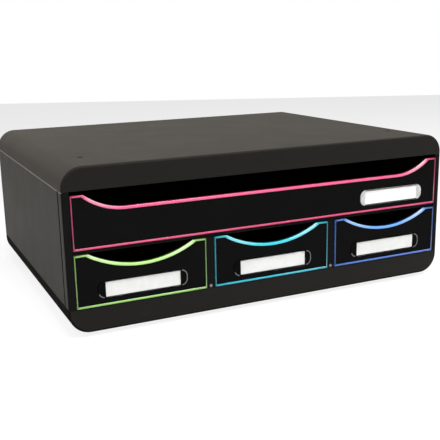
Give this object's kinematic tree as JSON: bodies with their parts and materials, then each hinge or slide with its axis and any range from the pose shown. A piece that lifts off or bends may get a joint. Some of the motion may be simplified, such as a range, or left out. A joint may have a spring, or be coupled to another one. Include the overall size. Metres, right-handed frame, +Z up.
{
  "type": "letter tray stack with drawers",
  "caption": "Low desktop box with rounded edges: a wide paper drawer over a row of small drawers, each dipped for the fingers, with coloured edging and a label window.",
  "frame": {"origin": "middle of the box's footprint, on the surface that the rubber feet stand on", "axes": "+X to the right across the front, +Y to the back, +Z up; the drawers open towards -Y"},
  "size_m": [0.355, 0.27, 0.135],
  "materials": {
    "casing_plastic": "fine grained, warm dark grey",
    "inner_plastic": "plain moulded black",
    "drawer_plastic": "fine grained black",
    "trim_pink": "satin gloss raspberry pink",
    "trim_green": "satin gloss apple green",
    "trim_turquoise": "satin gloss turquoise",
    "trim_blue": "satin gloss mid blue",
    "clear_plastic": "clear, polished",
    "label_card": "plain white card, matt",
    "foot_rubber": "matt black",
    "pin_plastic": "light grey, slightly shiny"
  },
  "bodies": {
    "casing": {"top_shell": "casing_plastic", "bottom_shell": "casing_plastic", "lower_deck": "inner_plastic", "left_side_panel": "casing_plastic", "right_side_panel": "casing_plastic", "back_panel": "inner_plastic", "mid_shelf": "inner_plastic", "left_partition": "inner_plastic", "right_partition": "inner_plastic", "left_partition_pin": "pin_plastic", "right_partition_pin": "pin_plastic", "foot_front_left": "foot_rubber", "foot_front_right": "foot_rubber", "foot_rear_left": "foot_rubber", "foot_rear_right": "foot_rubber"},
    "wide_drawer": {"wide_drawer_tray": "drawer_plastic", "wide_drawer_trim": "trim_pink", "wide_label_window": "clear_plastic", "wide_label_card": "label_card"},
    "left_drawer": {"left_drawer_tray": "drawer_plastic", "left_drawer_trim": "trim_green", "left_label_window": "clear_plastic", "left_label_card": "label_card"},
    "centre_drawer": {"centre_drawer_tray": "drawer_plastic", "centre_drawer_trim": "trim_turquoise", "centre_label_window": "clear_plastic", "centre_label_card": "label_card"},
    "right_drawer": {"right_drawer_tray": "drawer_plastic", "right_drawer_trim": "trim_blue", "right_label_window": "clear_plastic", "right_label_card": "label_card"}
  },
  "joints": [
    {"name": "wide_drawer_slide", "type": "slide", "parent": "casing", "child": "wide_drawer", "axis": [0, -1, 0], "range_m": [0, 0.216]},
    {"name": "left_drawer_slide", "type": "slide", "parent": "casing", "child": "left_drawer", "axis": [0, -1, 0], "range_m": [0, 0.21]},
    {"name": "centre_drawer_slide", "type": "slide", "parent": "casing", "child": "centre_drawer", "axis": [0, -1, 0], "range_m": [0, 0.21]},
    {"name": "right_drawer_slide", "type": "slide", "parent": "casing", "child": "right_drawer", "axis": [0, -1, 0], "range_m": [0, 0.21]}
  ]
}
